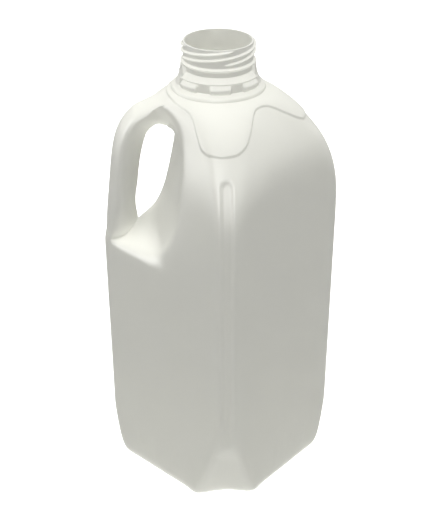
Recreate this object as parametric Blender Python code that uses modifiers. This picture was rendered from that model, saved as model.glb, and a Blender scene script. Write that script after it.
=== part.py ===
"""Two-litre blow-moulded milk jug with a corner handle, one closed shell with an open mouth.

Metres, +Z up.  The origin is the middle of the base, the handle is on the -X corner and the
jug is symmetric about the XZ plane, apart from the turns of the neck thread.
"""
from math import atan2, cos, degrees, pi, radians, sin, sqrt

import bmesh
import bpy
from mathutils import Vector

MM = 0.001
ROOT2 = sqrt(2.0)

# ---- driving dimensions, in millimetres ----
HEIGHT = 260.0              # base to lip
WALL = 0.9                  # wall of the blown body
NECK_X = -1.0               # the neck stands a little off the middle, towards the handle

FACE = 47.2                 # from the axis to a flat side
REACH_X = 64.0              # from the axis to the corners at -X and +X
REACH_Y = 62.6              # from the axis to the corners at -Y and +Y
HEEL_Z = 32.0               # crease where the heel starts to lean in
HEEL_FACE = 45.3            # half width across the flats at the foot of the heel
HEEL_REACH = 59.6           # corner at -X and +X at the foot of the heel
SCOOP_Z = 53.0              # top of the flat that cuts the corners at -Y and +Y
SCOOP_FOOT = 47.2           # reach of that flat at the base
SCOOP_HOLLOW = 1.6          # hollow across that flat at the base
PUNT = 4.0                  # how far the middle of the base is pushed up
FLUTE = (4.9, 3.1, 0.9)     # groove down the corners at -Y and +Y: half widths and depth
FLUTE_SPAN = (44.0, 207.0)

COLLAR_RADIUS = 24.4        # where the shoulder meets the neck
COLLAR_Z = 235.4

# shoulder: reach from the axis at a height, across the flats and at a plain corner
FACE_LINE = ((186.0, FACE), (196.0, 46.8), (204.0, 45.6), (212.0, 42.9), (220.0, 38.9),
             (227.0, 34.2), (231.5, 30.2), (COLLAR_Z, COLLAR_RADIUS))
CORNER_LINE = ((162.0, REACH_X), (178.0, 63.4), (190.0, 61.3), (200.0, 58.1), (207.0, 54.8),
               (214.0, 50.3), (221.0, 44.5), (227.0, 38.0), (231.5, 31.4),
               (COLLAR_Z, COLLAR_RADIUS))

# middle line of the handle in the XZ plane, one station for each cage row beside the hole
HANDLE_LINE = ((-54.8, 148.6), (-54.4, 154.0), (-53.8, 161.5), (-52.7, 172.0), (-51.4, 183.0),
               (-50.1, 194.0), (-48.5, 203.5), (-45.8, 211.8), (-41.6, 217.4), (-36.5, 220.8))
HANDLE_OUT = 8.3            # from that line to the outside
# at each station: from the line to the finger hole, half width along Y, and how far outward
# of the line the handle is widest
HANDLE_IN = (8.0, 8.0, 8.0, 7.0, 6.9, 7.0, 7.4, 7.4, 7.0, 7.0)
HANDLE_SIDE = (8.0, 7.4, 9.4, 10.6, 10.8, 10.8, 10.8, 10.8, 10.8, 10.8)
RIM_OUT = (0.0, 4.0, 2.4, 2.2, 2.6, 2.8, 3.0, 3.4, 3.8, 4.0)

# edge of the recess: handle's foot, along the ledge, up the body, and the handle's top
RIM_FOOT = (-59.6, 148.4)
RIM_LEDGE = ((-49.6, 147.2), (-40.2, 147.0))
RIM_EDGE = ((-33.0, 148.8), (-30.2, 153.6), (-27.2, 161.0), (-24.2, 171.0), (-21.8, 183.0),
            (-20.6, 195.5), (-19.9, 207.0), (-20.6, 216.8), (-23.0, 224.6), (-27.6, 229.6))
RIM_TOP = ((-34.6, -11.0, 226.6), (-31.2, -12.0, 228.6))

# finger hole in the XZ plane: foot of the handle, ceiling, wall and floor
HOLE_FOOT = ((-44.6, 160.6), (-45.4, 162.6), (-46.1, 168.0), (-45.7, 175.2))
HOLE_CEILING = ((-29.9, 214.2), (-26.7, 213.4))
HOLE_WALL = ((-24.4, 211.2), (-23.8, 207.6), (-24.7, 202.8), (-25.9, 197.6), (-27.2, 191.8),
             (-28.6, 186.0), (-30.0, 180.4), (-31.8, 175.4), (-33.8, 171.6), (-36.6, 168.0))
HOLE_FLOOR = ((-39.6, 165.2), (-42.6, 162.4))

# neck, turned about its own axis: radius and height, down the outside and up the bore
NECK_LINE = ((18.0, HEIGHT), (17.9, 250.4), (19.3, 249.7), (17.9, 248.7), (17.9, 246.4),
             (21.2, 243.3), (20.5, 242.7), (20.5, 238.7), (21.2, 238.4), (24.0, 236.5),
             (24.5, 235.7), (24.5, 234.3), (23.4, 233.8), (20.6, 236.4), (19.5, 241.2),
             (17.1, 245.2), (17.1, HEIGHT))
NECK_STEPS = 56
THREAD_START = 3.0          # azimuth of the first ridge's end, from -Y towards +X
THREAD_SPAN = 203.0
THREAD_LEAD = 12.9
THREAD_FOOT = HEIGHT - 7.65
THREAD_LINE = ((17.6, -0.95), (18.6, -0.6), (19.05, -0.2), (19.0, 0.2), (17.6, 0.65))
LUG_LINE = ((20.2, 242.8), (20.7, 242.7), (21.8, 240.8), (21.9, 238.3), (20.2, 238.0))
LUG_SPAN = 29.0
LUG_AT = (-50.0, 0.0, 50.0, 130.0, 180.0, 230.0)
FIN_LINE = ((17.6, 249.0), (19.2, 248.7), (20.3, 247.0), (20.6, 244.0), (21.5, 241.0),
            (23.2, 238.8), (24.2, 237.2), (24.2, 236.0), (21.0, 237.4), (20.0, 241.4),
            (17.6, 245.4))
FIN_SPAN = 46.0
FLAT_ANGLE = 2.2            # faces that turn less than this are merged, in degrees

COLUMNS = 8                 # cage columns in a quarter turn
ROWS_BELOW = (3.4, 27.5, 37.0, 56.0, 96.0, 134.0)           # cage rows under the recess
ROWS_BESIDE = (148.6, 154.0, 161.5, 172.0, 184.0, 196.0, 207.0, 216.0, 224.0, 230.0)
WINDOW = (2, 5)             # cage columns that the recess spans
TUNNEL = ((0.80, 0.76, 33.0), (0.40, 0.34, 64.0))           # loops between rim and middle
LEAN = 3.4                  # how much further in the shoulder lies beside the recess
LEAN_SHARE = (0.5, 0.9, 1.0, 0.55, 0.0, 0.0)                # share of it at columns 3 to 8


def eased(line, height):
    """Value at a height on a line of (height, value) stations, smooth and without overshoot."""
    if height <= line[0][0]:
        return line[0][1]
    if height >= line[-1][0]:
        return line[-1][1]
    slopes = [(b[1] - a[1]) / (b[0] - a[0]) for a, b in zip(line, line[1:])]
    tangents = [slopes[0]]
    for before, after in zip(slopes, slopes[1:]):
        tangents.append(0.0 if before * after <= 0 else 2 * before * after / (before + after))
    tangents.append(slopes[-1] * 1.15)
    tangents[0] = 0.0
    for i, (a, b) in enumerate(zip(line, line[1:])):
        if height <= b[0]:
            h = b[0] - a[0]
            t = (height - a[0]) / h
            return ((1 + 2 * t) * (1 - t) ** 2 * a[1] + t * (1 - t) ** 2 * h * tangents[i]
                    + t * t * (3 - 2 * t) * b[1] + t * t * (t - 1) * h * tangents[i + 1])


def step(low, high, value):
    """Smooth step from 0 at low to 1 at high."""
    t = min(max((value - low) / (high - low), 0.0), 1.0)
    return t * t * (3 - 2 * t)


def face_reach(height):
    if height < HEEL_Z:
        return HEEL_FACE + (FACE - HEEL_FACE) * max(height, 0.0) / HEEL_Z
    return eased(FACE_LINE, height)


def corner_reach(height, full):
    if height < HEEL_Z and full == REACH_X:
        return HEEL_REACH + (REACH_X - HEEL_REACH) * (max(height, 0.0) / HEEL_Z) ** 0.7
    return eased(CORNER_LINE, height) - (REACH_X - full) * (1 - step(200, 230, height))


def column_angle(k, height):
    """Angle of cage column k from the X axis, bunched at the corners of the square part."""
    square = [0.0, 5.2, 11.4, 26.0, 45.0, 64.0, 78.6, 84.8, 90.0]
    if height < SCOOP_Z:
        flat = scoop_reach(height)
        edge = degrees(atan2(flat, face_reach(height) * ROOT2 - flat))
        square[6] = min(square[6], edge)
        square[5] = min(square[5], square[6] - 9.0)
        square[7] = 90.0 - 0.46 * (90.0 - square[6])
    round_part = (0.0, 11.0, 22.5, 34.5, 47.0, 60.0, 73.0, 82.0, 90.0)[k]
    return radians(square[k] + (round_part - square[k]) * step(200, COLLAR_Z, height))


def scoop_reach(height):
    """Reach of the leaning flat that cuts the corners at -Y and +Y."""
    return SCOOP_FOOT + (REACH_Y - SCOOP_FOOT) * max(height, 0.0) / SCOOP_Z


def outline(angle, height, inset=0.0, lean=0.0):
    """Reach of the rounded square at an angle from the X axis, 0 to 90 degrees."""
    face = face_reach(height) - inset - lean
    reach = face / cos(angle - pi / 4)
    for turned, full in ((angle, REACH_X), (pi / 2 - angle, REACH_Y)):
        corner = corner_reach(height, full) - inset
        radius = min((face * ROOT2 - corner) / (ROOT2 - 1), face)
        centre = (face - radius) * ROOT2
        if turned < atan2(radius / ROOT2, centre + radius / ROOT2):
            reach = centre * cos(turned) + sqrt(radius ** 2 - (centre * sin(turned)) ** 2)
    if height < SCOOP_Z:
        hollow = SCOOP_HOLLOW * max(cos(2 * (pi / 2 - angle) * 3.0), 0) if angle > pi / 3 else 0
        flat = scoop_reach(height) - hollow * step(SCOOP_Z, 0.0, height) - inset
        reach = min(reach, flat / sin(max(angle, 0.1)))
    return reach


def lean_in(height, j, beside):
    """How much further in a column lies beside the recess, where the shoulder starts lower."""
    if not beside or j < 3:
        return 0.0
    return LEAN * LEAN_SHARE[j - 3] * step(160, 206, height) * step(232, 218, height)


def ring(height, inset=0.0, lift=0.0):
    """One closed row of the cage, from -X round by -Y, +X and +Y."""
    points = []
    for k in range(4 * COLUMNS):
        quarter, step_in = divmod(k, COLUMNS)
        j = step_in if quarter % 2 == 0 else COLUMNS - step_in
        angle = column_angle(j, height)
        reach = outline(angle, height, inset, lean_in(height, j, quarter in (0, 3)))
        x_sign = -1 if quarter in (0, 3) else 1
        y_sign = -1 if quarter in (0, 1) else 1
        centre = NECK_X * step(200, COLLAR_Z, height)
        points.append(Vector((x_sign * reach * cos(angle) + centre, y_sign * reach * sin(angle),
                              height + lift)))
    return points


def on_side(x, height, lean=0.0):
    """Point of the body's side at -X, -Y with this x, at a height."""
    low, high = 0.0, pi / 2
    for _ in range(40):
        angle = (low + high) / 2
        if outline(angle, height, 0.0, lean) * cos(angle) > -x:
            low = angle
        else:
            high = angle
    return Vector((x, -outline(angle, height, 0.0, lean) * sin(angle), height))


def handle_frame(i):
    """Middle point of the handle at row i and its outward direction, in the XZ plane."""
    here = Vector(HANDLE_LINE[i])
    before = Vector(HANDLE_LINE[max(i - 1, 0)])
    after = Vector(HANDLE_LINE[min(i + 1, len(HANDLE_LINE) - 1)])
    along = (after - before).normalized()
    return here, Vector((-along.y, along.x))


def handle_point(i, out, side):
    """Point of the handle at row i: out is measured from the middle line, side along Y."""
    here, outward = handle_frame(i)
    spot = here + outward * out
    return Vector((spot.x, side, spot.y))


def rim_points():
    """Recess's edge at -Y, keyed by (row, column) of the cage, rows counted from the ledge."""
    left, right = WINDOW
    last = len(HANDLE_LINE) - 1
    points = {(0, left): on_side(*RIM_FOOT)}
    for i in range(1, last + 1):
        points[i, left] = handle_point(i, RIM_OUT[i], -HANDLE_SIDE[i])
    for offset, spot in enumerate(RIM_LEDGE):
        points[0, left + 1 + offset] = on_side(*spot)
    for offset, spot in enumerate(RIM_TOP):
        points[last, left + 1 + offset] = Vector(spot)
    for i, (x, height) in enumerate(RIM_EDGE):
        points[i, right] = on_side(x, height, lean_in(height, right, True))
    return points


def shape_handle(rows, first):
    """Moves the cage's columns at -X onto the handle, and the recess's edge into place."""
    count = 4 * COLUMNS
    for i in range(1, len(HANDLE_LINE)):
        row = rows[first + i]
        row[0] = handle_point(i, HANDLE_OUT, 0.0)
        tube = handle_point(i, HANDLE_OUT * 0.78, HANDLE_SIDE[i] * 0.62)
        share = 0.3 + 0.7 * step(0, 3, i)
        row[count - 1] = row[count - 1].lerp(tube, share)
        row[1] = row[1].lerp(Vector((tube.x, -tube.y, tube.z)), share)
    for (i, k), spot in rim_points().items():
        rows[first + i][k] = spot
        rows[first + i][count - k] = Vector((spot.x, -spot.y, spot.z))


def window_loop(first, mirror):
    """Row and column of each cage vertex round the recess, on the -Y or +Y side."""
    left, right = WINDOW
    last = first + len(HANDLE_LINE) - 1
    loop = [(i, left) for i in range(first, last + 1)]
    loop += [(last, k) for k in range(left + 1, right + 1)]
    loop += [(i, right) for i in range(last - 1, first - 1, -1)]
    loop += [(first, k) for k in range(right - 1, left, -1)]
    return [(i, k if mirror < 0 else (4 * COLUMNS - k)) for i, k in loop]


def hole_outline():
    """Finger hole at the XZ plane, in the order of window_loop."""
    loop = [Vector((x, 0.0, z)) for x, z in HOLE_FOOT]
    loop += [handle_point(i, -HANDLE_IN[i], 0.0) for i in range(len(loop), len(HANDLE_LINE))]
    loop += [Vector((x, 0.0, z)) for x, z in HOLE_CEILING + HOLE_WALL + HOLE_FLOOR]
    return loop


def tunnel_loop(rim, hole, share, sink, turn):
    """Loop between the recess's edge and the hole, at a share of the way out along Y."""
    loop = []
    for i, (outer, inner) in enumerate(zip(rim, hole)):
        spot = inner + (outer - inner) * sink
        spot.y = outer.y * share
        tube = outer + (inner - outer) * sin(radians(turn))
        tube.y = outer.y * cos(radians(turn))
        rounded = step(0, 1, i) * step(len(HANDLE_LINE) + 2.5, len(HANDLE_LINE) + 0.5, i)
        loop.append(spot.lerp(tube, rounded))
    return loop


def limit_shift(verts, targets):
    """Moves each cage vertex by what its smoothed place misses its target."""
    shifts = []
    for vert, target in zip(verts, targets):
        rim = [e for e in vert.link_edges if e.is_boundary]
        if rim:
            near = sum((e.other_vert(vert).co for e in rim), Vector()) / 2
            smooth = (vert.co * 2 + near) / 3
        else:
            n = len(vert.link_faces)
            edges = sum((e.other_vert(vert).co for e in vert.link_edges), Vector())
            across = Vector()
            for face in vert.link_faces:
                ring_verts = face.verts[:]
                at = ring_verts.index(vert)
                across += ring_verts[(at + 2) % len(ring_verts)].co
            smooth = (vert.co * n * n + edges * 4 + across) / (n * (n + 5))
        shifts.append(target - smooth)
    for vert, shift in zip(verts, shifts):
        vert.co += shift


def body_cage():
    """Coarse cage of the blown body, open at the collar, with the handle's hole through it."""
    first = len(ROWS_BELOW) + 2
    rows = [ring(0.0, 9.0, 1.4), ring(0.0, 3.6, -0.4)]
    rows += [ring(z) for z in ROWS_BELOW + ROWS_BESIDE]
    shape_handle(rows, first)
    rows += [ring(233.2), ring(COLLAR_Z), ring(COLLAR_Z, 1.8, 0.9)]
    mesh = bmesh.new()
    grid = [[mesh.verts.new(p) for p in row] for row in rows]
    count = 4 * COLUMNS
    left, right = WINDOW
    last = first + len(HANDLE_LINE) - 1
    for i in range(len(grid) - 1):
        for k in range(count):
            inside = left <= k < right or count - right <= k < count - left
            if inside and first <= i < last:
                continue
            n = (k + 1) % count
            mesh.faces.new((grid[i][k], grid[i][n], grid[i + 1][n], grid[i + 1][k]))
    for vert in [v for v in mesh.verts if not v.link_faces]:
        mesh.verts.remove(vert)
    middle = [mesh.verts.new(v.co * 0.45 + Vector((0, 0, PUNT * 0.9))) for v in grid[0]]
    for k in range(count):
        n = (k + 1) % count
        mesh.faces.new((middle[k], middle[n], grid[0][n], grid[0][k]))
    mesh.faces.new(middle[::-1])
    rims = [[grid[i][k] for i, k in window_loop(first, side)] for side in (-1, 1)]
    hole = hole_outline()
    loops = [rims[0]]
    for share, sink, turn in TUNNEL:
        points = tunnel_loop([v.co for v in rims[0]], hole, share, sink, turn)
        loops.append([mesh.verts.new(p) for p in points])
    loops.append([mesh.verts.new(p) for p in hole])
    for share, sink, turn in reversed(TUNNEL):
        points = tunnel_loop([v.co for v in rims[1]], hole, share, sink, turn)
        loops.append([mesh.verts.new(p) for p in points])
    loops.append(rims[1])
    for a, b in zip(loops, loops[1:]):
        for k in range(len(a)):
            n = (k + 1) % len(a)
            mesh.faces.new((a[n], a[k], b[k], b[n]))
    bmesh.ops.recalc_face_normals(mesh, faces=mesh.faces)
    verts = list(mesh.verts)
    targets = [v.co.copy() for v in verts]
    for _ in range(3):
        limit_shift(verts, targets)
    for vert in verts:
        vert.co *= MM
    return mesh


def flute_depth(spot):
    """How deep the groove on the corners at -Y and +Y is at a point, in millimetres."""
    x, y, z = spot
    if abs(x) > 8.0 or abs(y) < 40.0:
        return 0.0
    above = max(z - (FLUTE_SPAN[1] - FLUTE[0]), 0.0)
    across = step(FLUTE[0], FLUTE[1], sqrt(x * x + above * above))
    return FLUTE[2] * across * step(FLUTE_SPAN[0], FLUTE_SPAN[0] + 12.0, z)


def linked(name, mesh, collection):
    obj = bpy.data.objects.new(name, mesh)
    collection.objects.link(obj)
    return obj


def applied(obj):
    """Replaces an object's mesh by what its modifiers make of it."""
    graph = bpy.context.evaluated_depsgraph_get()
    mesh = bpy.data.meshes.new_from_object(obj.evaluated_get(graph))
    obj.modifiers.clear()
    obj.data = mesh
    return mesh


def blown_body(collection):
    """Thin-walled body with its handle, open at the collar."""
    cage = body_cage()
    mesh = bpy.data.meshes.new("milk_jug")
    cage.to_mesh(mesh)
    cage.free()
    body = linked("milk_jug", mesh, collection)
    smooth = body.modifiers.new("round", "SUBSURF")
    smooth.levels = smooth.render_levels = 1
    mesh = applied(body)
    moved = [v.co - v.normal * flute_depth(v.co / MM) * MM for v in mesh.vertices]
    for vert, spot in zip(mesh.vertices, moved):
        vert.co = spot
        if spot.z < 0.1 * MM:
            vert.co.z = 0.0
    flats = body.modifiers.new("merge_flats", "DECIMATE")
    flats.decimate_type = "DISSOLVE"
    flats.angle_limit = radians(FLAT_ANGLE)
    applied(body)
    wall = body.modifiers.new("wall", "SOLIDIFY")
    wall.thickness = WALL * MM
    wall.offset = -1.0
    applied(body)
    return body


def turned_neck(collection):
    """Neck finish, turned about its own axis from the outline."""
    mesh = bpy.data.meshes.new("neck")
    count = len(NECK_LINE)
    verts = [(radius * MM, 0.0, height * MM) for radius, height in NECK_LINE]
    mesh.from_pydata(verts, [(i, (i + 1) % count) for i in range(count)], [])
    neck = linked("neck", mesh, collection)
    turn = neck.modifiers.new("turn", "SCREW")
    turn.steps = turn.render_steps = NECK_STEPS
    turn.use_merge_vertices = True
    turn.merge_threshold = 0.00001
    turn.use_normal_calculate = True
    mesh = applied(neck)
    for vert in mesh.vertices:
        vert.co.x += NECK_X * MM
    return neck


def spun(name, line, middle, span, rise, steps, collection):
    """Closed solid: an outline swung about the neck's axis, azimuth from -Y towards +X."""
    mesh = bmesh.new()
    start = radians(middle - span / 2.0)
    verts = [mesh.verts.new((r * sin(start) * MM, -r * cos(start) * MM, z * MM)) for r, z in line]
    face = mesh.faces.new(verts)
    bmesh.ops.spin(mesh, geom=[face] + face.edges[:] + verts, cent=(0, 0, 0), axis=(0, 0, 1),
                   dvec=(0, 0, rise * MM / steps), angle=radians(span), steps=steps)
    bmesh.ops.holes_fill(mesh, edges=[e for e in mesh.edges if e.is_boundary], sides=0)
    for vert in mesh.verts:
        vert.co.x += NECK_X * MM
    bmesh.ops.recalc_face_normals(mesh, faces=mesh.faces)
    data = bpy.data.meshes.new(name)
    mesh.to_mesh(data)
    mesh.free()
    return linked(name, data, collection)


def thread_ridge(index, collection):
    """One of the four thread starts, running out into the neck at both ends."""
    start = THREAD_START + 90.0 * index
    line = [(r, THREAD_FOOT + z) for r, z in THREAD_LINE]
    rise = THREAD_LEAD * THREAD_SPAN / 360.0
    ridge = spun("thread", line, start + THREAD_SPAN / 2.0, THREAD_SPAN, rise, 28, collection)
    for vert in ridge.data.vertices:
        x, y = vert.co.x - NECK_X * MM, vert.co.y
        turn = (degrees(atan2(x, -y)) - start + 40.0) % 360.0 - 40.0
        inward = max(step(14.0, 0.0, turn), step(THREAD_SPAN - 14.0, THREAD_SPAN, turn))
        radius = sqrt(x * x + y * y)
        shrink = 1.0 - max(radius - 17.75 * MM, 0.0) * inward / radius
        vert.co.x = x * shrink + NECK_X * MM
        vert.co.y = y * shrink
        vert.co.z = min(vert.co.z, (HEIGHT - 0.3) * MM)
    return ridge


def neck_parts(collection):
    parts = [turned_neck(collection)]
    parts += [thread_ridge(index, collection) for index in range(4)]
    for place in LUG_AT:
        lug = spun("lug", LUG_LINE, place, LUG_SPAN, 0.0, 5, collection)
        soften = lug.modifiers.new("soften", "BEVEL")
        soften.width = 0.5 * MM
        soften.segments = 1
        soften.angle_limit = radians(60)
        applied(lug)
        parts.append(lug)
    for place in (-90.0, 90.0):
        parts.append(spun("fin", FIN_LINE, place, FIN_SPAN, 0.0, 6, collection))
    return parts


def hdpe():
    """Unpigmented polyethylene."""
    material = bpy.data.materials.new("milky_plastic")
    material.use_nodes = True
    shader = material.node_tree.nodes["Principled BSDF"]
    shader.inputs["Base Color"].default_value = (0.76, 0.77, 0.71, 1.0)
    shader.inputs["Roughness"].default_value = 0.42
    shader.inputs["IOR"].default_value = 1.54
    return material


def build():
    for obj in list(bpy.data.objects):
        bpy.data.objects.remove(obj)
    scene = bpy.context.scene
    jug = bpy.data.collections.new("milk_jug")
    neck = bpy.data.collections.new("neck")
    scene.collection.children.link(jug)
    scene.collection.children.link(neck)
    body = blown_body(jug)
    parts = neck_parts(neck)
    join = body.modifiers.new("join_neck", "BOOLEAN")
    join.operation = "UNION"
    join.operand_type = "COLLECTION"
    join.collection = neck
    join.solver = "MANIFOLD"
    mesh = applied(body)
    for part in parts:
        bpy.data.objects.remove(part)
    bpy.data.collections.remove(neck)
    mesh.materials.clear()
    mesh.materials.append(hdpe())
    for face in mesh.polygons:
        face.use_smooth = True
        face.material_index = 0
    mesh.set_sharp_from_angle(angle=radians(40))


if __name__ == "__main__":
    build()
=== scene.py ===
from math import acos, atan2, copysign, cos, degrees, hypot, pi, radians, sin, sqrt

import bmesh
import bpy
import numpy as np
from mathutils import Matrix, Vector


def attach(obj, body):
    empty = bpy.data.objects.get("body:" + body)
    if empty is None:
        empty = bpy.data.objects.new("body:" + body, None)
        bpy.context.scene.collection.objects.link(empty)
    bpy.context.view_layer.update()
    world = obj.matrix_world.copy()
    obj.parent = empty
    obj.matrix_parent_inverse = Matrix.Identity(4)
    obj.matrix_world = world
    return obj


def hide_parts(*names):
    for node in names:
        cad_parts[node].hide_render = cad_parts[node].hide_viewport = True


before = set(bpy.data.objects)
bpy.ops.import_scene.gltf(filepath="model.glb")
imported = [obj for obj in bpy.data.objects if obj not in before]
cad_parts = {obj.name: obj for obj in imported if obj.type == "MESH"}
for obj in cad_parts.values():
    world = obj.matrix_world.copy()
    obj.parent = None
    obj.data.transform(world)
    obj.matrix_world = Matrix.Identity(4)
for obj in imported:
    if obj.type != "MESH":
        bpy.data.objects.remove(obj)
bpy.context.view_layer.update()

mm = 0.001
root2 = sqrt(2.0)


def ease(low, high, value):
    # smooth step, 0 at low and 1 at high, works on numbers and on numpy arrays
    t = np.clip((value - low) / (high - low), 0.0, 1.0)
    return t * t * (3 - 2 * t)


def alongLine(line, where, lastSteeper=1.15):
    # smooth reading of a line of (place, value) stations, without overshoot
    if where <= line[0][0]:
        return line[0][1]
    if where >= line[-1][0]:
        return line[-1][1]
    slopes = [(b[1] - a[1]) / (b[0] - a[0]) for a, b in zip(line, line[1:])]
    tangents = [0.0]
    for before, after in zip(slopes, slopes[1:]):
        tangents.append(0.0 if before * after <= 0 else 2 * before * after / (before + after))
    tangents.append(slopes[-1] * lastSteeper)
    for i, (a, b) in enumerate(zip(line, line[1:])):
        if where <= b[0]:
            h = b[0] - a[0]
            t = (where - a[0]) / h
            return ((1 + 2 * t) * (1 - t) ** 2 * a[1] + t * (1 - t) ** 2 * h * tangents[i]
                    + t * t * (3 - 2 * t) * b[1] + t * t * (t - 1) * h * tangents[i + 1])


def deselect():
    bpy.ops.object.select_all(action="DESELECT")


def activate(obj):
    deselect()
    obj.select_set(True)
    bpy.context.view_layer.objects.active = obj


def pick(obj, kind, wanted):
    # selects only the wanted faces or edges in edit mode
    bpy.ops.mesh.select_mode(type="FACE" if kind == "faces" else "EDGE")
    bpy.ops.mesh.select_all(action="DESELECT")
    mesh = bmesh.from_edit_mesh(obj.data)
    for part in getattr(mesh, kind):
        if wanted(part):
            part.select_set(True)
    bmesh.update_edit_mesh(obj.data)


def applyAll(obj):
    activate(obj)
    for modifier in list(obj.modifiers):
        bpy.ops.object.modifier_apply(modifier=modifier.name)


body = {
    "columns": 32,                                      # of the cage, all the way round
    "face": 47.2, "reachX": 64.0, "reachY": 62.6,       # half across the flats and the corners
    "heelZ": 32.0, "heelFace": 45.3, "heelReach": 59.6, "heelBow": 0.7,
    # leaning hollow flats at the foot of the front and the back corner
    "scoopZ": 53.0, "scoopFoot": 47.2, "scoopHollow": 1.6, "scoopHalf": 30.0,
    # pushed-up base: height, share of the width, and (inset, lift) of the two rings that it stands on
    "punt": 3.6, "puntShare": 0.45, "puntRing": (9.0, 1.4), "footRing": (3.6, -0.4),
    "wall": 0.9, "outerLevels": 3, "innerLevels": 2,
    # the shoulder starts lower beside the recess: depth, share from column 3 to the corner, heights
    "lean": 3.4, "leanShare": (0.5, 0.9, 1.0, 0.7, 0.3, 0.1),
    "leanLow": (160.0, 206.0), "leanHigh": (232.0, 218.0),
    "rowsBelow": (3.4, 27.5, 37.0, 56.0, 96.0, 134.0),
    "rowsBeside": (148.6, 154.0, 161.5, 172.0, 184.0, 196.0, 207.0, 216.0, 224.0, 230.0),
    # columns of a quarter, in degrees: where the body is square, where a scoop cuts it, and at the collar
    "turns": (0.0, 5.2, 11.4, 26.0, 45.0, 64.0, 78.6, 84.8, 90.0), "scoopTurn": 9.0, "scoopShare": 0.46,
    "collarTurns": (0.0, 11.0, 22.5, 34.5, 47.0, 60.0, 73.0, 82.0, 90.0),
    "besideTurns": (0.0, 8.5, 17.0, 26.0, 36.0, 48.0, 63.0, 77.5, 90.0),      # beside the handle
    # the square turns round from shoulderZ up to the collar
    "shoulderZ": 200.0, "roundZ": (200.0, 230.0), "neckX": -1.0, "collarR": 24.4, "collarZ": 235.4,
    "lastRow": 233.2, "collarLip": (1.8, 0.9),
}
body["faceLine"] = ((186.0, body["face"]), (196.0, 46.8), (204.0, 45.6), (212.0, 42.9),
                    (220.0, 38.9), (227.0, 34.2), (231.5, 30.2), (body["collarZ"], body["collarR"]))
body["cornerLine"] = ((162.0, body["reachX"]), (178.0, 63.4), (190.0, 61.3), (200.0, 58.1),
                      (207.0, 54.8), (214.0, 50.3), (221.0, 44.5), (227.0, 38.0),
                      (231.5, 31.4), (body["collarZ"], body["collarR"]))

handle = {
    "window": (2, 5),                       # columns of the cage that the recess cuts
    # the tunnel's two loops on each side: share of the half width, share of the way out, turn round the tube
    "tunnel": ((0.80, 0.76, 33.0), (0.40, 0.34, 64.0)),
    "ledge": ((0.66, 0.78), (0.22, 0.49)),      # the same two loops where they cross the ledge
    # points (x, z) of the tube's middle line from the ledge to the top, and the reach outwards from it
    "line": ((-54.8, 148.6), (-54.4, 154.0), (-53.8, 161.5), (-52.7, 172.0), (-51.4, 183.0), (-50.1, 194.0),
             (-48.5, 203.5), (-45.8, 211.8), (-41.6, 217.4), (-36.5, 220.8)),
    "out": 8.3, "cheek": (0.78, 0.62), "footShare": 0.3,
    # for each of these points: reach to the side, towards the hole, and outwards to the recess's edge
    "side": (8.0, 7.4, 9.4, 10.6, 10.8, 10.8, 10.8, 10.8, 10.8, 10.8),
    "inside": (8.0, 8.0, 8.0, 7.0, 6.9, 7.0, 7.4, 7.4, 7.0, 7.0),
    "rimOut": (0.0, 4.0, 2.4, 2.2, 2.6, 2.8, 3.0, 3.4, 3.8, 4.0),
    # the rest of the recess's edge: start of the ledge, its front, the back edge upwards, and over the top
    "rimFoot": (-59.6, 148.4),
    "rimLedge": ((-49.6, 147.2), (-40.2, 147.0)),
    "rimEdge": ((-33.0, 148.8), (-30.2, 153.6), (-27.2, 161.0), (-24.2, 171.0), (-21.8, 183.0),
                (-20.6, 195.5), (-19.9, 207.0), (-20.6, 216.8), (-23.0, 224.6), (-27.6, 229.6)),
    "rimTop": ((-34.6, -11.0, 226.6), (-31.2, -12.0, 228.6)),
    # the hole's outline in the middle plane, from its foot up the handle and back down the body
    "holeFoot": ((-44.6, 160.6), (-45.4, 162.6), (-46.1, 168.0), (-45.7, 175.2)),
    "holeCeiling": ((-29.9, 214.2), (-26.7, 213.4)),
    "holeWall": ((-24.4, 211.2), (-23.8, 207.6), (-24.7, 202.8), (-25.9, 197.6), (-27.2, 191.8),
                 (-28.6, 186.0), (-30.0, 180.4), (-31.8, 175.4), (-33.8, 171.6), (-36.6, 168.0)),
    "holeFloor": ((-39.6, 165.2), (-42.6, 162.4)),
    # where the handle's foot runs into the ledge, for the corner and the row above it
    "valley": (((-55.5, -5.0, 149.8), (-49.5, -1.9, 153.5)), ((-52.0, -6.0, 155.5), (-47.4, -2.6, 157.8))),
    "crease": (0.0, 0.0, 0.0, 0.0, 0.0, 0.3, 0.5, 0.6, 0.6, 0.5),      # tightness of the back edge
}

# the plain tube that the body is bent from: half the gap between the recess's two rims, cuts across it,
# and the radius past which a point still lies on the tube
blank = {"halfGap": 0.1, "cuts": 5, "onTube": 0.995}

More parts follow.
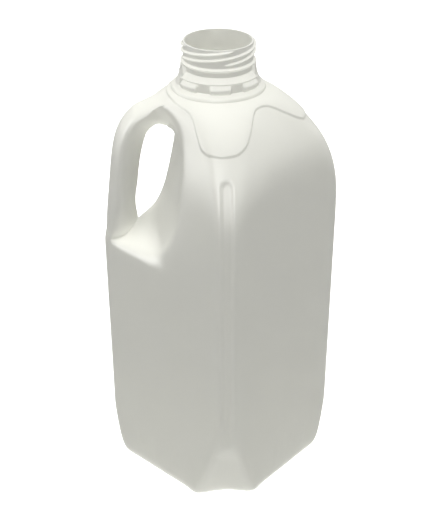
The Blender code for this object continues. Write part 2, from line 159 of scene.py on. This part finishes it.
relief = {
    # upright flutes on the front and the back corner: half width outside and at the floor, depth
    "flute": (3.9, 1.7, 1.05), "fluteSpan": (44.0, 207.0), "fluteFade": 12.0, "fluteBox": (8.0, 40.0),
    # ribs low on the flats: half width at the foot and on top, height, places along the flat
    "rib": (1.7, 0.5, 0.45), "ribAt": (-2.0, 10.0, 22.0), "ribSpan": (6.0, 29.0), "ribFade": 3.0,
    # raised star round the neck: drop outside it, its edge, where the drop fades outwards and downwards
    "starDrop": 0.8, "starEdge": (-0.1, 0.9), "starFade": (20.0, 3.0), "starLow": (186.0, 216.0),
    # bands along the star's line that get finer faces, and where they lie
    "fineBands": (3.4, 2.2), "fineMiddle": 0.4, "fineLow": 204.0, "fineSlope": 0.2,
    # its reach at each turn from +X by the sides to -X
    "starLine": ((0.0, 45.6), (10.5, 44.7), (15.5, 42.5), (23.4, 37.3), (32.1, 32.4), (39.0, 30.0),
                 (46.0, 29.2), (53.0, 29.6), (58.0, 31.0), (63.2, 33.9), (69.9, 39.4), (75.9, 44.2),
                 (83.0, 46.9), (90.0, 47.4), (98.0, 46.3), (103.8, 43.3), (109.0, 38.3),
                 (115.6, 32.9), (123.2, 30.0), (137.8, 28.2), (162.0, 26.8), (180.0, 26.6)),
}


def scoopReach(z):
    # reach of the leaning flat that cuts the corners at -Y and +Y near the base
    return body["scoopFoot"] + (body["reachY"] - body["scoopFoot"]) * max(z, 0.0) / body["scoopZ"]


def faceReach(z):
    if z < body["heelZ"]:
        return body["heelFace"] + (body["face"] - body["heelFace"]) * max(z, 0.0) / body["heelZ"]
    return alongLine(body["faceLine"], z)


def cornerReach(z, full):
    if z < body["heelZ"] and full == body["reachX"]:
        rise = (max(z, 0.0) / body["heelZ"]) ** body["heelBow"]
        return body["heelReach"] + (body["reachX"] - body["heelReach"]) * rise
    return alongLine(body["cornerLine"], z) - (body["reachX"] - full) * (1 - ease(*body["roundZ"], z))


def columnAngle(j, z, beside=False):
    # columns bunch at the corners where the body is square, and near the handle at the collar
    square = list(body["turns"])
    if z < body["scoopZ"]:
        # column 6 follows the edge of the scoop
        flat = scoopReach(z)
        edge = degrees(atan2(flat, faceReach(z) * root2 - flat))
        square[6] = min(square[6], edge)
        square[5] = min(square[5], square[6] - body["scoopTurn"])
        square[7] = 90.0 - body["scoopShare"] * (90.0 - square[6])
    top = body["besideTurns" if beside else "collarTurns"][j]
    return radians(square[j] + (top - square[j]) * ease(body["shoulderZ"], body["collarZ"], z))


def outlineReach(angle, z, inset=0.0, sink=0.0):
    # reach of the rounded square at an angle from the X axis
    face = faceReach(z) - inset - sink
    reach = face / cos(angle - pi / 4)
    for turned, full in ((angle, body["reachX"]), (pi / 2 - angle, body["reachY"])):
        corner = cornerReach(z, full) - inset
        radius = min((face * root2 - corner) / (root2 - 1), face)
        centre = (face - radius) * root2
        if turned < atan2(radius / root2, centre + radius / root2):
            reach = centre * cos(turned) + sqrt(radius ** 2 - (centre * sin(turned)) ** 2)
    if z < body["scoopZ"]:
        half = radians(body["scoopHalf"])
        off = pi / 2 - angle      # from the middle of the scoop
        hollow = body["scoopHollow"] * max(cos(off / half * pi), 0) if off < half else 0
        flat = scoopReach(z) - hollow * ease(body["scoopZ"], 0.0, z) - inset
        reach = min(reach, flat / sin(max(angle, 0.1)))
    return reach


def leanIn(z, j, beside):
    # how much further in the side lies beside the recess, where the shoulder starts lower
    if not beside or j < 3:
        return 0.0
    return body["lean"] * body["leanShare"][j - 3] * ease(*body["leanLow"], z) * ease(*body["leanHigh"], z)


def ringPoints(z, inset=0.0, lift=0.0):
    # one row of the cage, from the handle's corner at -X by way of -Y
    points = []
    perQuarter = body["columns"] // 4
    for k in range(body["columns"]):
        quarter, inQuarter = divmod(k, perQuarter)
        j = inQuarter if quarter % 2 == 0 else perQuarter - inQuarter
        beside = quarter in (0, 3)
        angle = columnAngle(j, z, beside)
        reach = outlineReach(angle, z, inset, leanIn(z, j, beside))
        signX = -1 if quarter in (0, 3) else 1
        signY = -1 if quarter in (0, 1) else 1
        centre = body["neckX"] * ease(body["shoulderZ"], body["collarZ"], z)
        x = signX * reach * cos(angle) + centre
        points.append(Vector((x, signY * reach * sin(angle), z + lift)))
    return points


def onSide(x, z, sink=0.0):
    # the point of the side at -X, -Y that has this x
    low, high = 0.0, pi / 2
    for _ in range(40):      # halvings
        angle = (low + high) / 2
        if outlineReach(angle, z, 0.0, sink) * cos(angle) > -x:
            low = angle
        else:
            high = angle
    return Vector((x, -outlineReach(angle, z, 0.0, sink) * sin(angle), z))


def mirrored(spot):
    # the same place on the other side of the handle
    return Vector((spot.x, -spot.y, spot.z))


def handlePoint(i, out, side):
    # out is measured from the handle's middle line in the XZ plane, side along Y
    line = [Vector(p) for p in handle["line"]]
    along = (line[min(i + 1, len(line) - 1)] - line[max(i - 1, 0)]).normalized()
    spot = line[i] + Vector((-along.y, along.x)) * out
    return Vector((spot.x, side, spot.y))


def rimPoints():
    # the recess's edge at -Y, keyed by row above the ledge and column
    left, right = handle["window"]
    last = len(handle["line"]) - 1
    points = {(0, left): onSide(*handle["rimFoot"])}
    for i in range(1, last + 1):
        points[i, left] = handlePoint(i, handle["rimOut"][i], -handle["side"][i])
    for offset, spot in enumerate(handle["rimLedge"]):
        points[0, left + 1 + offset] = onSide(*spot)
    for offset, spot in enumerate(handle["rimTop"]):
        points[last, left + 1 + offset] = Vector(spot)
    for i, (x, z) in enumerate(handle["rimEdge"]):
        points[i, right] = onSide(x, z, leanIn(z, right, True))
    return points


def cageRows():
    # all rows of the cage from the pushed-up base to the collar, and which one starts the handle
    puntRing = ringPoints(0.0, *body["puntRing"])
    rows = [[p * body["puntShare"] + Vector((0, 0, body["punt"])) for p in puntRing]]
    rows += [puntRing, ringPoints(0.0, *body["footRing"])]
    rows += [ringPoints(z) for z in body["rowsBelow"] + body["rowsBeside"]]
    first = len(rows) - len(body["rowsBeside"])
    cheekOut, cheekSide = handle["cheek"]
    for i in range(1, len(handle["line"])):
        row = rows[first + i]
        row[0] = handlePoint(i, handle["out"], 0.0)
        tube = handlePoint(i, handle["out"] * cheekOut, handle["side"][i] * cheekSide)
        share = handle["footShare"] + (1.0 - handle["footShare"]) * ease(0, 3, i)
        row[-1] = row[-1].lerp(tube, share)
        row[1] = row[1].lerp(mirrored(tube), share)
    for (i, k), spot in rimPoints().items():
        rows[first + i][k] = spot
        rows[first + i][-k] = mirrored(spot)
    rows += [ringPoints(body["lastRow"]), ringPoints(body["collarZ"])]
    rows += [ringPoints(body["collarZ"], *body["collarLip"])]
    return rows, first


def windowLoop(first):
    # (row, column) round the recess's edge, up the handle first
    left, right = handle["window"]
    last = first + len(handle["line"]) - 1
    loop = [(i, left) for i in range(first, last + 1)]
    loop += [(last, k) for k in range(left + 1, right + 1)]
    loop += [(i, right) for i in range(last - 1, first - 1, -1)]
    loop += [(first, k) for k in range(right - 1, left, -1)]
    return loop


def tunnelPlaces(rim):
    # where each loop between the recess's edge and the far edge goes
    tall = len(handle["line"])
    hole = [Vector((x, 0.0, z)) for x, z in handle["holeFoot"]]
    hole += [handlePoint(i, -handle["inside"][i], 0.0) for i in range(len(hole), tall)]
    hole += [Vector((x, 0.0, z)) for x, z in handle["holeCeiling"] + handle["holeWall"] + handle["holeFloor"]]
    loops = []
    for (share, sink, turn), (ledgeShare, ledgeSink) in zip(handle["tunnel"], handle["ledge"]):
        loop = []
        for i, (outer, inner) in enumerate(zip(rim, hole)):
            spot = inner + (outer - inner) * sink
            spot.y = outer.y * share
            # the last points cross the ledge, and the first ones go round the handle's tube
            level = inner + (outer - inner) * ledgeShare
            level.z = inner.z + (outer.z - inner.z) * ledgeSink
            spot = spot.lerp(level, ease(len(rim) - 5, len(rim) - 2, i))
            tube = outer + (inner - outer) * sin(radians(turn))
            tube.y = outer.y * cos(radians(turn))
            spot = spot.lerp(tube, ease(0, 1, i) * ease(tall + 6, tall + 0.5, i))
            loop.append(spot)
        for i, spots in enumerate(handle["valley"]):
            loop[i] = Vector(spots[len(loops)])
        loops.append(loop)
    across = [[mirrored(p) for p in loop] for loop in reversed(loops)]
    return loops + [hole] + across


def fitToSmooth(mesh, rounds=3):
    # moves each cage point by what its place on the smoothed surface misses the wanted place,
    # with the weights that a Subdivision Surface modifier gives a point and its neighbours
    targets = [v.co.copy() for v in mesh.verts]
    for _ in range(rounds):
        shifts = []
        for vert, target in zip(mesh.verts, targets):
            rim = [e for e in vert.link_edges if e.is_boundary]
            if rim:
                near = sum((e.other_vert(vert).co for e in rim), Vector()) / 2
                smooth = (vert.co * 2 + near) / 3
            else:
                n = len(vert.link_faces)
                edges = sum((e.other_vert(vert).co for e in vert.link_edges), Vector())
                across = Vector()
                for face in vert.link_faces:
                    ring = face.verts[:]
                    across += ring[(ring.index(vert) + 2) % len(ring)].co
                smooth = (vert.co * n * n + edges * 4 + across) / (n * (n + 5))
            shifts.append(target - smooth)
        for vert, shift in zip(mesh.verts, shifts):
            vert.co += shift


def columnAt(x, y):
    # column of a place on the blank, not rounded
    return degrees(atan2(-y, -x)) / 360.0 * body["columns"]


def makeBlank(rows, first):
    # a plain tube of unit radius, one unit to a row, with the recess cut through it
    deselect()
    bpy.ops.mesh.primitive_circle_add(vertices=body["columns"], radius=1.0, fill_type="NOTHING")
    obj = bpy.context.object
    obj.name = "jugBody"
    bpy.ops.object.mode_set(mode="EDIT")
    bpy.ops.mesh.select_all(action="SELECT")
    for _ in rows[1:]:
        bpy.ops.mesh.extrude_region_move(TRANSFORM_OT_translate={"value": (0, 0, 1)})
    left, right = handle["window"]
    last = first + len(handle["line"]) - 1

    # open both recess windows, bring their rims together so that they pair up, and bridge them
    def inWindow(face):
        mid = face.calc_center_median()
        return first < mid.z < last and left < abs(columnAt(mid.x, mid.y)) < right

    pick(obj, "faces", inWindow)
    bpy.ops.mesh.delete(type="FACE")
    top = len(rows) - 1
    pick(obj, "edges", lambda edge: edge.is_boundary and 0.5 < edge.verts[0].co.z < top - 0.5)
    for vert in bmesh.from_edit_mesh(obj.data).verts:
        if vert.select:
            vert.co.y = copysign(blank["halfGap"], vert.co.y)
    bpy.ops.mesh.bridge_edge_loops(number_cuts=blank["cuts"], interpolation="LINEAR")
    pick(obj, "edges", lambda edge: edge.is_boundary and edge.verts[0].co.z < 0.5)
    bpy.ops.mesh.edge_face_add()

    # the upper half of the recess's back edge is tighter than the rest
    def onBackEdge(edge, row):
        ends = [vert.co for vert in edge.verts]
        onColumn = all(abs(abs(columnAt(p.x, p.y)) - right) < 0.1 for p in ends)
        onTube = all(p.xy.length > blank["onTube"] for p in ends)
        return onColumn and onTube and round(max(p.z for p in ends)) == row

    for row, weight in enumerate(handle["crease"], first):
        if weight:
            pick(obj, "edges", lambda edge: onBackEdge(edge, row))
            bpy.ops.transform.edge_crease(value=weight)
    return obj


def shapeBlank(obj, rows, first):
    # every point of the blank goes to its real place
    mesh = bmesh.from_edit_mesh(obj.data)
    loop = windowLoop(first)
    inTunnel = tunnelPlaces([rows[i][k] for i, k in loop])
    middle = (blank["cuts"] + 1) // 2
    for vert in mesh.verts:
        x, y, z = vert.co
        row = rows[round(z)]
        if hypot(x, y) > blank["onTube"]:
            vert.co = row[round(columnAt(x, y)) % body["columns"]]
            continue
        k = round(degrees(acos(-x)) / 360.0 * body["columns"])
        across = round(y / blank["halfGap"] * middle) + middle
        rims = {0: row[k], blank["cuts"] + 1: row[-k]}
        vert.co = rims.get(across) or inTunnel[across - 1][loop.index((round(z), k))]
    fitToSmooth(mesh)
    bmesh.ops.scale(mesh, vec=(mm, mm, mm), verts=mesh.verts)
    bmesh.ops.recalc_face_normals(mesh, faces=mesh.faces)
    if mesh.calc_volume() < 0:
        bmesh.ops.reverse_faces(mesh, faces=mesh.faces)
    bmesh.update_edit_mesh(obj.data)
    bpy.ops.object.mode_set(mode="OBJECT")


def makeBody():
    rows, first = cageRows()
    obj = makeBlank(rows, first)
    shapeBlank(obj, rows, first)

    # outer skin, and a coarser copy of it that becomes the inside of the wall
    activate(obj)
    bpy.ops.object.duplicate()
    lining = bpy.context.object
    for skin, levels in ((obj, body["outerLevels"]), (lining, body["innerLevels"])):
        smooth = skin.modifiers.new("round", "SUBSURF")
        smooth.levels = smooth.render_levels = levels
        applyAll(skin)
    for near in relief["fineBands"]:
        refineStar(obj, near)
    pressRelief(obj.data)
    pressRelief(lining.data)

    activate(lining)
    bpy.ops.object.mode_set(mode="EDIT")
    bpy.ops.mesh.select_all(action="SELECT")
    bpy.ops.transform.shrink_fatten(value=-body["wall"] * mm)
    bpy.ops.mesh.flip_normals()
    bpy.ops.object.mode_set(mode="OBJECT")
    activate(obj)
    lining.select_set(True)
    bpy.ops.object.join()
    bpy.ops.object.mode_set(mode="EDIT")
    pick(obj, "edges", lambda edge: edge.is_boundary)
    bpy.ops.mesh.bridge_edge_loops()
    bpy.ops.object.mode_set(mode="OBJECT")
    bpy.ops.object.shade_smooth()
    return obj


def refineStar(obj, near):
    # finer faces along the star's line
    def onLine(face):
        x, y, z = face.calc_center_median() / mm
        onShoulder = z > relief["fineLow"] and face.normal.z > relief["fineSlope"]
        return onShoulder and abs(starAway(x, y) - relief["fineMiddle"]) < near

    activate(obj)
    bpy.ops.object.mode_set(mode="EDIT")
    pick(obj, "faces", onLine)
    bpy.ops.mesh.subdivide(number_cuts=1, smoothness=1.0)
    bpy.ops.object.mode_set(mode="OBJECT")


def starAway(x, y):
    # distance outside the raised star round the neck, negative on it
    reach = hypot(x - body["neckX"], y)
    turn = degrees(atan2(abs(y), x - body["neckX"]))
    line = relief["starLine"]
    slope = degrees(alongLine(line, turn + 0.5) - alongLine(line, turn - 0.5)) / reach
    return (reach - alongLine(line, turn)) / sqrt(1.0 + slope * slope)


def reliefHeight(x, y, z):
    # height of the fine shapes above the plain skin, in millimetres
    height = 0.0
    if z > relief["starLow"][0]:
        away = starAway(x, y)
        fade = ease(*relief["starFade"], away) * ease(*relief["starLow"], z)
        height -= relief["starDrop"] * ease(*relief["starEdge"], away) * fade
    nearX, pastY = relief["fluteBox"]
    if abs(x) < nearX and abs(y) > pastY:
        outer, inner, deep = relief["flute"]
        low, high = relief["fluteSpan"]
        wide = hypot(x, max(z - (high - outer), 0.0))
        height -= deep * ease(outer, inner, wide) * ease(low, low + relief["fluteFade"], z)
    if z < body["heelZ"]:
        outer, inner, high = relief["rib"]
        low, top = relief["ribSpan"]
        fade = relief["ribFade"]
        ends = ease(low, low + fade, z) * ease(top, top - fade, z)
        along = (abs(x) - abs(y)) / root2
        height += high * ends * sum(ease(outer, inner, abs(along - at)) for at in relief["ribAt"])
    return height


def pressRelief(mesh):
    # moves each point along its normal, and none under the floor
    places = [(v.co / mm, v.normal.copy()) for v in mesh.vertices]
    for vert, (spot, normal) in zip(mesh.vertices, places):
        spot += normal * reliefHeight(*spot)
        vert.co = Vector((spot.x, spot.y, max(spot.z, 0.0))) * mm


neck = {
    "x": -1.0, "lip": 260.0, "steps": 300,
    # spacing of the outline's points past a radius, and how many times wider it is in the bore
    "spacing": 0.2, "fineFrom": 17.5, "coarser": 4,
    "soften": (1.2, 0.45),      # a corner's cut as a share of its radius, and at most of a side
    "merge": 0.000002,          # metres
    "skin": 0.35,               # what lies further than this from the bore is the outside
    # radius and height under the lip, down the outside and up the bore, with a corner radius
    "line": ((18.0, 0.0, 0.2), (17.9, -9.5, 0.3), (19.55, -10.15, 0.3), (17.9, -11.6, 0.3),
             (17.9, -14.05, 0.12), (21.5, -16.35, 0.25), (21.0, -17.1, 0.2), (21.2, -21.3, 0.2),
             (21.9, -21.55, 0.1), (24.1, -23.2, 0.4), (24.5, -24.2, 0.4), (24.5, -25.7, 0.1),
             (23.4, -26.2, 0.1), (20.9, -23.6, 0.8), (19.5, -18.8, 1.0), (17.1, -14.8, 0.8),
             (17.1, 0.0, 0.25)),
    "bore": ((-26.2, 23.4), (-23.6, 20.9), (-18.8, 19.5), (-14.8, 17.1), (0.0, 17.1)),
}
thread = {
    # azimuth of the first start, degrees that one thread runs, its rise for a full turn, height of its foot
    "start": 3.0, "span": 203.0, "lead": 12.9, "foot": -7.95, "starts": 4,
    "before": 40.0,      # degrees ahead of a start that still count to it
    # height of the crest, degrees of run-out, and the profile's crown and root above and below the middle
    "crest": 1.25, "runOut": 14.0, "above": (0.1, 0.75), "below": (-0.15, -0.65), "band": (1.0, -9.4),
}
lug = {
    # azimuths from -Y towards +X, half sizes of the rounded rectangle, and radius for each height
    "at": (-47.0, 0.0, 47.0, 133.0, 180.0, 227.0), "halfLong": 5.6, "wallRadius": 22.0, "middle": -19.2,
    "halfHigh": 2.9, "corner": 1.6, "edge": (0.2, -0.6), "band": (-16.9, -21.65),
    "line": ((-21.6, 21.9), (-21.0, 22.6), (-20.2, 22.95), (-19.2, 23.0), (-18.7, 22.85),
             (-18.35, 22.5), (-16.9, 20.9)),
}
fin = {
    # smooth shields over the lugs' groove on the handle's side and the one opposite
    "at": (-90.0, 90.0), "band": (-10.9, -21.6),
    "halfSpan": ((-17.3, 17.5), (-16.9, 25.5), (-15.0, 25.5), (-11.5, 18.0)),
    "soft": (1.2, -0.6),
    "line": ((-21.55, 21.9), (-20.8, 21.55), (-18.7, 20.7), (-16.5, 19.9), (-14.0, 19.5),
             (-11.6, 19.3), (-10.9, 18.9)),
}


def readLine(line, where):
    # straight reading of (place, value) stations for a whole array
    return np.interp(where, [a for a, _ in line], [b for _, b in line])


def within(band, drop):
    # which heights under the lip lie in a band of (top, bottom)
    return (drop < band[0]) & (drop > band[1])


def turnOff(turn, middle):
    # signed angle from a middle direction, in degrees
    return (turn - middle + 180.0) % 360.0 - 180.0


def threadRise(turn, drop):
    # how far the thread stands off the wall at an azimuth and a height under the lip
    best = np.zeros_like(drop)
    for index in range(thread["starts"]):
        start = thread["start"] + 360.0 / thread["starts"] * index
        along = (turn - start + thread["before"]) % 360.0 - thread["before"]
        middle = thread["foot"] + thread["lead"] * along / 360.0
        ends = np.clip(along / thread["runOut"], 0.0, 1.0)
        ends = ends * np.clip((thread["span"] - along) / thread["runOut"], 0.0, 1.0)
        off = (drop - middle) / np.maximum(ends, 0.05)      # the ridge thins as it sinks
        crown, top = thread["above"]
        root, foot = thread["below"]
        upper = np.clip((top - off) / (top - crown), 0.0, 1.0)
        lower = np.clip((off - foot) / (root - foot), 0.0, 1.0)
        best = np.maximum(best, thread["crest"] * upper * lower * ends)
    return best


def lugShare(turn, drop, at):
    # 1 on the rounded rectangle of one lug, 0 off it
    along = np.abs(np.radians(turnOff(turn, at))) * lug["wallRadius"] - lug["halfLong"] + lug["corner"]
    across = np.abs(drop - lug["middle"]) - lug["halfHigh"] + lug["corner"]
    over = np.hypot(np.maximum(along, 0.0), np.maximum(across, 0.0)) - lug["corner"]
    return ease(*lug["edge"], over)


def neckOutline():
    # the turned outline with its corners rounded, as evenly spaced points
    corners = [(Vector((r, z)), soft) for r, z, soft in neck["line"]]
    path = []
    count = len(corners)
    for i, (here, soft) in enumerate(corners):
        before = corners[i - 1][0] - here
        after = corners[(i + 1) % count][0] - here
        reach, most = neck["soften"]
        cut = min(soft * reach, before.length * most, after.length * most)
        a, b = here + before.normalized() * cut, here + after.normalized() * cut
        for t in (0.0, 0.25, 0.5, 0.75, 1.0):
            path.append(a * (1 - t) ** 2 + here * 2 * t * (1 - t) + b * t * t)
    points = []
    for a, b in zip(path, path[1:] + path[:1]):
        spacing = neck["spacing"] * (1 if a.x > neck["fineFrom"] else neck["coarser"])
        parts = max(1, round((b - a).length / spacing))
        points += [a.lerp(b, n / parts) for n in range(parts)]
    return points


def makeNeck():
    # the outline is spun round the axis, then the threads, lugs and fins are pushed out of it
    points = neckOutline()
    deselect()
    mesh = bpy.data.meshes.new("jugNeck")
    mesh.from_pydata([(p.x * mm, 0.0, (neck["lip"] + p.y) * mm) for p in points],
                     [(i, (i + 1) % len(points)) for i in range(len(points))], [])
    obj = bpy.data.objects.new("jugNeck", mesh)
    bpy.context.scene.collection.objects.link(obj)
    activate(obj)
    bpy.ops.object.mode_set(mode="EDIT")
    bpy.ops.mesh.select_all(action="SELECT")
    bpy.ops.mesh.spin(steps=neck["steps"], angle=2 * pi, center=(0, 0, 0), axis=(0, 0, 1))
    bpy.ops.mesh.select_all(action="SELECT")
    bpy.ops.mesh.remove_doubles(threshold=neck["merge"])
    bpy.ops.mesh.normals_make_consistent(inside=False)
    bpy.ops.object.mode_set(mode="OBJECT")

    co = np.zeros(len(mesh.vertices) * 3)
    mesh.vertices.foreach_get("co", co)
    co = co.reshape(-1, 3) / mm
    radius = np.hypot(co[:, 0], co[:, 1])
    turn = np.degrees(np.arctan2(co[:, 0], -co[:, 1])) % 360.0      # from -Y towards +X
    drop = co[:, 2] - neck["lip"]
    outside = radius > readLine(neck["bore"], drop) + neck["skin"]
    wanted = np.where(outside & within(thread["band"], drop), radius + threadRise(turn, drop), radius)

    lugRadius = np.maximum(readLine(lug["line"], drop), radius)
    share = sum(lugShare(turn, drop, at) for at in lug["at"])
    wanted = np.where(outside & within(lug["band"], drop), wanted + (lugRadius - wanted) * share, wanted)

    finRadius = readLine(fin["line"], drop)
    halfSpan = readLine(fin["halfSpan"], drop)
    share = sum(ease(*fin["soft"], np.abs(turnOff(turn, at)) - halfSpan) for at in fin["at"])
    wanted = np.where(outside & within(fin["band"], drop), wanted + (finRadius - wanted) * share, wanted)

    scale = wanted / radius
    co[:, 0] = co[:, 0] * scale + neck["x"]
    co[:, 1] *= scale
    mesh.vertices.foreach_set("co", (co * mm).ravel())
    mesh.update()
    bpy.ops.object.shade_smooth()
    return obj


plastic = {
    "light": (0.785, 0.785, 0.755, 1.0), "dark": (0.735, 0.735, 0.70, 1.0), "ior": 1.54,
    # scales of the pattern: thick and thin clouds, streaks drawn out upwards, fine grain
    "cloud": 38.0, "streak": (260.0, 260.0, 9.0), "cloudShare": 0.65, "grain": 1400.0,
    "roughness": (0.33, 0.1), "glowShare": (0.30, 0.10),      # the least, and what the pattern adds
    "bump": (0.10, 0.00025),                                  # strength, distance
    "seam": (0.00035, 0.00012), "seamHeight": 2.0,            # half width at the foot and on top
    "glow": (0.93, 0.93, 0.893, 1.0),                         # light let through the wall
    "clearShare": 0.1, "clearFrom": (0.11, 0.06),             # see-through share near the base, its heights
}


class Wire:
    # a shader socket that takes part in sums, and makes any other node
    def __init__(self, tree, socket=None):
        self.tree = tree
        self.socket = socket

    def node(self, kind, settings, sockets, output=0):
        made = self.tree.nodes.new(kind)
        for name, value in settings.items():
            setattr(made, name, value)
        for name, value in sockets.items():
            if isinstance(value, Wire):
                self.tree.links.new(value.socket, made.inputs[name])
            else:
                made.inputs[name].default_value = value
        return Wire(self.tree, made.outputs[output]) if made.outputs else None

    def sums(self, kind, first, second):
        return self.node("ShaderNodeMath", {"operation": kind}, {0: first, 1: second})

    def __add__(self, other):
        return self.sums("ADD", self, other)

    def __sub__(self, other):
        return self.sums("SUBTRACT", self, other)

    def __rsub__(self, other):
        return self.sums("SUBTRACT", other, self)

    def __mul__(self, other):
        return self.sums("MULTIPLY", self, other)

    def __abs__(self):
        return self.sums("ABSOLUTE", self, 0.0)

    __radd__ = __add__
    __rmul__ = __mul__


def makePlastic():
    material = bpy.data.materials.new("milkyPlastic")
    material.use_nodes = True
    tree = material.node_tree
    tree.nodes.clear()
    pen = Wire(tree)
    place = pen.node("ShaderNodeTexCoord", {}, {}, "Object")
    drawn = pen.node("ShaderNodeMapping", {}, {"Vector": place, "Scale": plastic["streak"]})
    cloud = pen.node("ShaderNodeTexNoise", {}, {"Vector": place, "Scale": plastic["cloud"], "Detail": 3.0})
    streak = pen.node("ShaderNodeTexNoise", {}, {"Vector": drawn, "Scale": 1.0, "Detail": 2.0})
    grain = pen.node("ShaderNodeTexNoise", {}, {"Vector": place, "Scale": plastic["grain"], "Detail": 2.0})
    # thicker and thinner wall, drawn out upwards as the plastic was blown
    thick = plastic["cloudShare"] * cloud + (1.0 - plastic["cloudShare"]) * streak
    tone = pen.node("ShaderNodeMix", {"data_type": "RGBA"},
                    {0: thick, 6: plastic["dark"], 7: plastic["light"]}, 2)
    # hairline where the two halves of the mould met
    sideways = pen.node("ShaderNodeSeparateXYZ", {}, {"Vector": place}, "Y")
    seam = pen.node("ShaderNodeMapRange", {"interpolation_type": "SMOOTHSTEP"},
                    {"Value": abs(sideways), "From Min": plastic["seam"][1], "From Max": plastic["seam"][0],
                     "To Min": 1.0, "To Max": 0.0})
    bump = pen.node("ShaderNodeBump", {}, {"Strength": plastic["bump"][0], "Distance": plastic["bump"][1],
                                           "Height": grain + plastic["seamHeight"] * seam})
    least, span = plastic["roughness"]
    shine = pen.node("ShaderNodeBsdfPrincipled", {}, {"Base Color": tone, "Roughness": least + span * thick,
                                                      "IOR": plastic["ior"], "Normal": bump})
    through = pen.node("ShaderNodeBsdfTranslucent", {}, {"Color": plastic["glow"]})
    least, span = plastic["glowShare"]
    milky = pen.node("ShaderNodeMixShader", {}, {0: least + span * (1.0 - thick), 1: shine, 2: through})
    # the wall is thinnest and clearest round the base
    upwards = pen.node("ShaderNodeSeparateXYZ", {}, {"Vector": place}, "Z")
    high, low = plastic["clearFrom"]
    thin = pen.node("ShaderNodeMapRange", {"interpolation_type": "SMOOTHSTEP"},
                    {"Value": upwards, "From Min": low, "From Max": high,
                     "To Min": plastic["clearShare"], "To Max": 0.0})
    clear = pen.node("ShaderNodeBsdfTransparent", {}, {})
    both = pen.node("ShaderNodeMixShader", {}, {0: thin, 1: milky, 2: clear})
    pen.node("ShaderNodeOutputMaterial", {}, {"Surface": both})
    return material


studio = {
    "sky": 0.54, "floor": (0.9, 0.9, 0.9, 1.0), "floorSize": 6.0, "floorRoughness": 0.9, "floorGlow": 0.5,
    # kind, place, size or spread, watts or strength, whether it throws shadows, what it shows in
    "lamps": (("softLeft", "AREA", (-0.25, -0.35, 1.5), 1.6, 6.0, True, ("body", "gloss")),
              ("overhead", "SUN", (0.0, 0.0, 2.0), 20.0, 2.3, False, ("body",)),
              ("sheenLeft", "AREA", (-1.2, 0.05, 0.38), 1.1, 19.0, True, ("gloss",)),
              ("sheenFront", "AREA", (-0.3, -1.2, 0.6), 0.9, 20.0, True, ("gloss",))),
    "cameraAt": (-29.62, -513.72, 431.2435), "pitch": 30.1, "azimuth": -3.3,
    "tint": (1.0, 1.0, 0.985), "lookAt": (0.0, 0.0, 0.13),      # what the lamps turn to
    # focal length and picture size in pixels, and the column that the view's axis meets
    "focal": 1055.0, "frame": (439, 515), "centreX": 220.2, "sensor": 36.0, "clipEnd": 20.0,
}


def makeStage():
    scene = bpy.context.scene
    deselect()
    bpy.ops.mesh.primitive_plane_add(size=studio["floorSize"])
    floor = bpy.context.object
    floor.name = "floor"
    paint = bpy.data.materials.new("paleFloor")
    paint.use_nodes = True
    shader = paint.node_tree.nodes["Principled BSDF"]
    shader.inputs["Base Color"].default_value = studio["floor"]
    shader.inputs["Roughness"].default_value = studio["floorRoughness"]
    shader.inputs["Emission Color"].default_value = (1, 1, 1, 1)
    shader.inputs["Emission Strength"].default_value = studio["floorGlow"]
    floor.data.materials.append(paint)
    floor.visible_diffuse = False
    floor.visible_glossy = False

    world = bpy.data.worlds.new("studio")
    scene.world = world
    world.use_nodes = True
    sky = world.node_tree.nodes["Background"]
    sky.inputs["Color"].default_value = (1, 1, 1, 1)
    sky.inputs["Strength"].default_value = studio["sky"]

    for name, kind, place, size, power, shadow, shows in studio["lamps"]:
        deselect()
        bpy.ops.object.light_add(type=kind, location=place)
        lamp = bpy.context.object
        lamp.name = name
        lamp.data.energy = power
        lamp.data.color = studio["tint"]
        lamp.data.use_shadow = shadow
        lamp.visible_diffuse = lamp.visible_transmission = "body" in shows
        lamp.visible_glossy = "gloss" in shows
        if kind == "AREA":
            lamp.data.size = size
        else:
            lamp.data.angle = radians(size)
        towards = Vector(studio["lookAt"]) - lamp.location
        lamp.rotation_euler = towards.to_track_quat("-Z", "Y").to_euler()

    deselect()
    bpy.ops.object.camera_add(location=Vector(studio["cameraAt"]) * mm)
    camera = bpy.context.object
    camera.rotation_euler = (radians(90.0 - studio["pitch"]), 0.0, radians(studio["azimuth"]))
    wide, long = studio["frame"]
    camera.data.sensor_fit = "AUTO"
    camera.data.sensor_width = studio["sensor"]
    camera.data.lens = studio["focal"] * studio["sensor"] / long
    camera.data.shift_x = (wide / 2 - studio["centreX"]) / long
    camera.data.clip_end = studio["clipEnd"]
    scene.camera = camera
    scene.view_settings.view_transform = "Standard"


jugBody = makeBody()
print("body", len(jugBody.data.polygons), "faces")
jugNeck = makeNeck()
print("neck", len(jugNeck.data.polygons), "faces")
milkyPlastic = makePlastic()
for piece in (jugBody, jugNeck):
    piece.data.materials.clear()
    piece.data.materials.append(milkyPlastic)
    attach(piece, "root")
    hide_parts("milk_jug")
makeStage()
print("stage")
